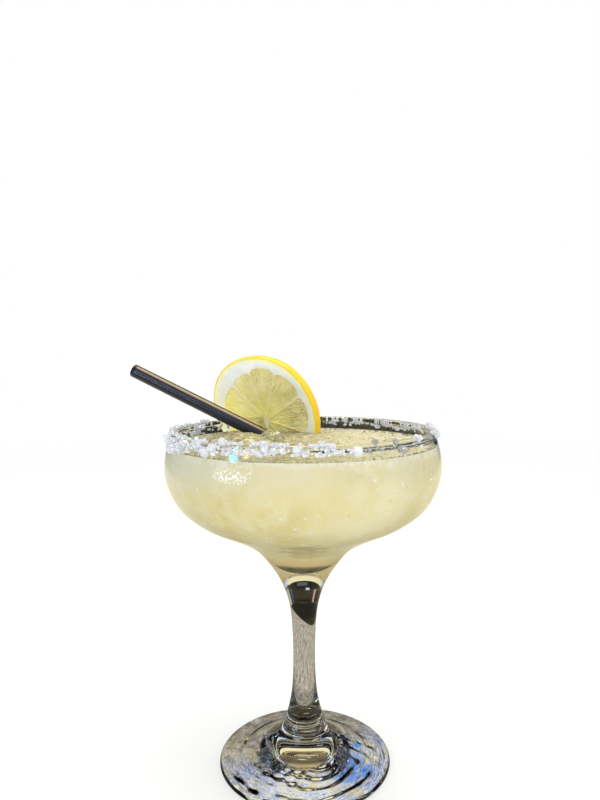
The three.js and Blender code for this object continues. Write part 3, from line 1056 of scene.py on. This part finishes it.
def stone_look():
    look = Look("stone_card")
    mottle = look.noise(150.0, detail=6.0, roughness=0.75, vector=look.place((1, 0.4, 1)))
    colour = look.ramp(
        mottle,
        [(0.34, 90, 82, 70), (0.44, 156, 146, 130), (0.56, 196, 186, 172), (0.7, 236, 230, 220)],
    )
    patch = look.between(look.noise(60.0), 0.4, 0.6)
    dark = look.times(look.fading(look.cells(330.0), 0.16, 0.3, 0.85), patch)
    return shining(look, look.mix(dark, colour, (22, 20, 18)))


def mirrored_floor_look():
    """The table as reflections meet it: dim, but pale some way behind the glass."""
    look = Look("mirrored_floor")
    pale = look.times(
        look.between(look.far_from((0, 0, 0)), 0.06, 0.28),
        look.fading(look.far_from((0, 0.45, 0)), 0.35, 0.85),
    )
    return shining(look, look.mix(pale, (150, 143, 112), (246, 240, 212)))


def bar_lights_look():
    """Lamps and shelves high up behind, brown in the middle and lively beside it."""
    look = Look("bar_lights")
    lively = look.ramp(
        look.noise(7.0, detail=4.0, roughness=0.65),
        [(0.34, 30, 28, 26), (0.42, 120, 122, 126), (0.48, 255, 255, 255),
         (0.52, 60, 150, 255), (0.57, 226, 232, 240), (0.66, 250, 224, 150)],
    )
    brown = look.ramp(
        look.noise(5.0, detail=2.0),
        [(0.35, 60, 50, 32), (0.5, 112, 100, 70), (0.66, 170, 154, 110)],
    )
    off_middle = look.math("ABSOLUTE", look.split(look.place())[0])
    colour = look.mix(look.between(off_middle, 0.1, 0.2), brown, (30, 26, 20))
    colour = look.mix(look.between(off_middle, 0.3, 0.45), colour, lively)
    return shining(look, colour, 1.3)


# Each blue spot's middle, and how far from it the blue starts and ends to fade
BLUE_POOL = (0.017, -0.009, 0), 0.005, 0.012
BLUE_SPOT = (0.020, 0.005, 0), 0.0014, 0.0022


def table_light_look():
    """The light that the foot gathers on the table under it, in streaks round the pad."""
    look = Look("table_light")
    x, y, _ = look.split(look.place())
    r = look.far_from((0, 0, 0))
    turn = look.math("ARCTAN2", x, look.times(y, -1.0))
    polar = look.joined("CombineXYZ", None, look.times(r, 640.0), look.times(turn, 2.6))
    streaks = look.noise(1.0, roughness=0.6, vector=polar, distortion=1.6)
    fine = look.noise(1.7, detail=2.0, vector=polar, distortion=1.2)
    bright = look.ramp(
        streaks,
        [(0.34, 26, 28, 34), (0.41, 76, 82, 94), (0.46, 196, 206, 222), (0.5, 84, 88, 98),
         (0.55, 232, 234, 236), (0.6, 96, 100, 108), (0.7, 150, 152, 156)],
    )
    ahead = look.math("COSINE", turn)
    bright = look.mix(look.between(ahead, 0.55, 0.95, 0.0, 0.6), bright, (250, 248, 232))
    bright = look.mix(look.line(fine, 0.5, 0.008, 0.022), bright, (255, 255, 255))
    bright = look.mix(look.line(fine, 0.42, 0.006, 0.018, 0.9), bright, (16, 18, 26))
    cyan = look.times(
        look.line(fine, 0.545, 0.012, 0.03), look.between(look.noise(90.0), 0.43, 0.5)
    )
    bright = look.mix(cyan, bright, (0, 120, 255))
    pool, spot = (
        look.fading(look.far_from(middle), near, far)
        for middle, near, far in (BLUE_POOL, BLUE_SPOT)
    )
    pool = look.times(pool, look.line(fine, 0.5, 0.02, 0.055))
    for blue in (pool, spot):
        bright = look.mix(blue, bright, (6, 150, 255))
    gold = look.times(
        look.between(look.noise(120.0, detail=2.0), 0.54, 0.62),
        look.between(streaks, 0.5, 0.56, 0.0, 0.8),
    )
    bright = look.mix(gold, bright, (248, 220, 130))

    stone = look.ramp(
        look.noise(260.0, detail=6.0, roughness=0.75),
        [(0.36, 44, 38, 30), (0.44, 122, 112, 92), (0.56, 164, 154, 134), (0.7, 232, 224, 204)],
    )
    to_right = look.math("COSINE", look.math("SUBTRACT", turn, 0.35))
    colour = look.mix(look.between(to_right, -0.55, 0.35, 0.15, 0.95), stone, bright)

    ragged = look.math("ADD", r, look.times(streaks, 0.004))
    skirt = look.times(
        look.between(ragged, 0.0112, 0.0122), look.fading(ragged, 0.0175, 0.0195)
    )
    beads = look.mix(look.fading(look.cells(520.0), 0.12, 0.25), (14, 13, 12), (255, 226, 214))
    colour = look.mix(look.times(skirt, look.fading(ahead, 0.6, 0.85)), colour, beads)

    ball = look.ramp(
        look.math("ADD", look.times(y, 50.0), 0.5),
        [(0.1, 176, 158, 110), (0.24, 84, 74, 52), (0.6, 116, 104, 76), (0.8, 74, 66, 48),
         (0.95, 24, 22, 18)],
    )
    shine = look.fading(look.far_from((-0.001, 0.002, 0)), 0.0005, 0.0022)
    ball = look.mix(shine, ball, (255, 252, 236))
    colour = look.mix(look.fading(r, 0.0086, 0.0094), colour, ball)
    unmirrored = look.math("LESS_THAN", look.add("LightPath").outputs["Glossy Depth"], 0.5)
    return shining(look, colour, look.math("ADD", look.times(unmirrored, 0.85), 0.25))


WIDE = (3.2, 3.2)
stage_plane("floor", WIDE, (0, 0, -0.0003), floor_look())
stage_card(
    "stone_card", (2.4, 1.13), (0.168, -0.361, -0.0002), stone_look(), turn=25.0, mirrored=False
)
stage_card("table_light", (0.064, 0.064), (0, 0, -0.0001), table_light_look())
stage_card("mirrored_floor", WIDE, (0, 0, -0.00015), mirrored_floor_look(), seen_through=False)
DARK = glow("dark_card", (20, 19, 17), 1.0)
stage_card("dark_floor_card", (3.0, 3.0), (0, 0, -0.00025), DARK, mirrored=False)


# Light
def room_glow(look):
    """The room that glass shows the eye: dark, with small lamps high up."""
    way = look.add("TexCoord").outputs["Generated"]
    high_up = look.between(look.split(way)[2], 0.5, 0.62)
    near = look.between(look.cells(9.0, vector=way), 0.14, 0.2, 4.0, 0.0, kind="LINEAR")
    tint = look.ramp(
        look.split(look.cells(9.0, vector=way, output="Color"))[0],
        [(0.0, 60, 140, 255), (0.3, 240, 246, 255), (0.75, 255, 214, 130)],
        "CONSTANT",
    )
    lamps = look.joined("VectorMath", {"operation": "MULTIPLY"}, tint, near)
    lamps = look.add("VectorMath", {"operation": "SCALE"}, Vector=lamps, Scale=high_up)
    dim = [ROOM_LIGHT * c for c in ROOM_COLOUR]
    return look.add("Background", Color=look.joined("VectorMath", None, lamps, dim))


def world_light():
    """White to the camera, soft light for the surfaces, and a dim room for what glass shows."""
    world = bpy.data.worlds.new("studio")
    bpy.context.scene.world = world
    look = Look("studio", world)
    path = look.add("LightPath").outputs
    seen = look.add("Background", Color=rgba((1, 1, 1)), Strength=1.0)
    soft = look.add("Background", Color=rgba(SOFT_COLOUR), Strength=SOFT_LIGHT)
    by_glass = look.math("MAXIMUM", path["Is Glossy Ray"], path["Is Transmission Ray"])
    first = look.math("SUBTRACT", by_glass, path["Diffuse Depth"], clamp=True)
    dim = look.either(first, soft, room_glow(look))
    look.done(look.either(path["Is Camera Ray"], dim, seen))


def area_light(name, location, target, size, power, colour):
    data = bpy.data.lights.new(name, "AREA")
    data.shape = "RECTANGLE"
    data.size, data.size_y = size
    data.energy = power
    data.color = colour
    light = bpy.data.objects.new(name, data)
    light.location = location
    aim(light, Vector(target) - Vector(location), "-Z")
    light.visible_camera = False
    light.visible_glossy = False
    light.visible_transmission = False
    bpy.context.scene.collection.objects.link(light)


world_light()
area_light("ceiling", (0.05, 0.1, 0.9), (0, 0, 0.1), (0.9, 0.7), 3.3, (1.0, 0.98, 0.94))
area_light("front_left", (-0.7, -0.7, 0.55), (0, 0, 0.12), (0.4, 0.5), 1.25, (0.97, 0.985, 1.0))
area_light("front_right", (0.8, -0.5, 0.4), (0, 0, 0.12), (0.35, 0.5), 1.3, (1.0, 0.99, 0.96))
area_light(
    "low_front", (0, -0.32, 0.035), (0, -0.01, 0.095), (0.5, 0.06), 0.28, (1.0, 0.97, 0.88)
)

# Lamps that the glass shows, in colours as seen on screen
COOL, WHITE, TAN, SKY = (90, 170, 255), (240, 246, 255), (255, 222, 176), (196, 214, 255)
AQUA, ROSE, HAZE = (60, 190, 255), (255, 214, 200), (206, 224, 255)
UNDER_STRAW = (-0.05, 0.035, 0.14)
CEILING = (0.7, 1.5)
lamp_card("white_lamp_front", WHITE, 6.0, (0.16, 0.05), (-0.35, -0.75, 0.75))
lamp_card("white_lamp_top", WHITE, 4.0, (0.2, 0.2), (0.1, -0.05, 0.95))
lamp_card("cool_lamp_right", COOL, 6.0, (0.05, 0.25), (0.75, -0.1, 0.45))
lamp_card("cool_lamp_left", COOL, 4.0, (0.04, 0.16), (-0.8, -0.3, 0.5))
stage_card(
    "tan_ceiling", CEILING, (0.0, 0.3, 0.9), glow("tan_ceiling", TAN, 16.0, CEILING),
    seen_through=False,
)
lamp_card("sky", SKY, 3.4, (0.8, 0.7), (-0.455, -0.61, 0.617), UNDER_STRAW, False, True)
lamp_card("neck_glow", (248, 238, 192), 1.0, (0.8, 0.15), (-0.03, 0.55, 0.365), (0, 0, 0.078))
aim(stage_card("bar_lights", (1.8, 0.62), (0, 0.6, 0.66), bar_lights_look()), (0, -0.6, -0.64), "Z")
lamp_card("pale_right", (205, 202, 180), 0.7, (0.5, 0.4), (0.75, 0.55, 0.12))
lamp_card("far_pink", (205, 172, 160), 0.8, (0.1, 0.3), (-0.42, 0.95, 0.1))
lamp_card("far_white", WHITE, 0.7, (0.12, 0.06), (-0.12, 1.0, 0.22))
lamp_card("far_grey", (120, 118, 112), 0.6, (0.3, 0.1), (0.05, 1.0, 0.35))
lamp_card("far_blue", (60, 100, 160), 0.8, (0.07, 0.3), (0.5, 0.9, 0.12))
for name, colour, strength, size, start, way, distance, speckle in (
    ("aqua_glint", AQUA, 40.0, (0.17, 0.1), (-21.9, -45.9, 127.8), (-0.806, -0.498, 0.318), 0.8, 0),
    ("rose_glint", ROSE, 14.0, (0.13, 0.08), (-17.8, -47.3, 129), (-0.69, -0.63, 0.36), 0.8, 0),
    ("edge_glint", WHITE, 9.0, (0.014, 0.08), (43.7, -28.9, 117.8), (0.8, 0.56, -0.21), 0.35, 60),
    ("haze", HAZE, 27.0, (0.66, 0.3), (-22, -46, 122), (-0.84, -0.54, 0.03), 0.8, 26),
):
    glint_card(name, colour, strength, size, start, way, distance, speckle)


# Camera
CAMERA_PLACE = (-0.00095, -0.254, 0.16045)
CAMERA_PITCH = 3.96
CAMERA_ROLL = 0.4
FOCAL_PIXELS = 664
PICTURE_HEIGHT = 800
SENSOR_HEIGHT, SENSOR_WIDTH = 36.0, 27.0
camera_data = bpy.data.cameras.new("camera")
camera_data.sensor_fit = "VERTICAL"
camera_data.sensor_height = SENSOR_HEIGHT
camera_data.sensor_width = SENSOR_WIDTH
camera_data.lens = SENSOR_HEIGHT * FOCAL_PIXELS / PICTURE_HEIGHT
camera_data.clip_start = 0.005
camera = bpy.data.objects.new("camera", camera_data)
camera.matrix_world = (
    Matrix.Translation(CAMERA_PLACE)
    @ Matrix.Rotation(math.radians(90 - CAMERA_PITCH), 4, "X")
    @ Matrix.Rotation(math.radians(-CAMERA_ROLL), 4, "Z")
)
bpy.context.scene.collection.objects.link(camera)
bpy.context.scene.camera = camera
bpy.context.scene.view_settings.view_transform = "Standard"
